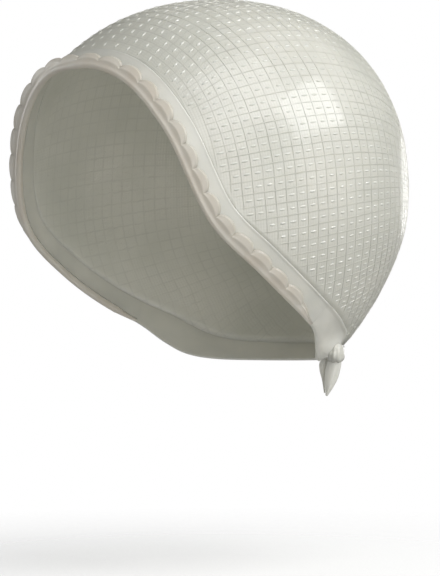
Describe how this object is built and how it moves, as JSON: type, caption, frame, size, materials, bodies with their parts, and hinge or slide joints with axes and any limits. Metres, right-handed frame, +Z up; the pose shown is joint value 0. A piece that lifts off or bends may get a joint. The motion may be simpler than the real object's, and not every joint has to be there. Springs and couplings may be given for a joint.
{
  "type": "hair highlighting cap",
  "caption": "Milky moulded rubber highlighting cap in its worn shape: a thin hollow dome with a smooth edge band, a scalloped hem and two ties knotted behind the ear",
  "frame": {"origin": "where the top of the wearer's head touches the inside of the crown", "axes": "+X is the wearer's left, -Y is the face side, +Z is up"},
  "size_m": [0.154, 0.1718, 0.1734],
  "materials": {
    "film": "milky satin, slightly see-through",
    "hem": "milky satin with a warm tint"
  },
  "bodies": {
    "root": {"crown": "film", "edge_band": "film", "scalloped_frill": "hem", "left_tie": "film", "right_tie": "film", "nape_knot": "film", "front_tail": "film", "back_tail": "film"}
  },
  "joints": []
}
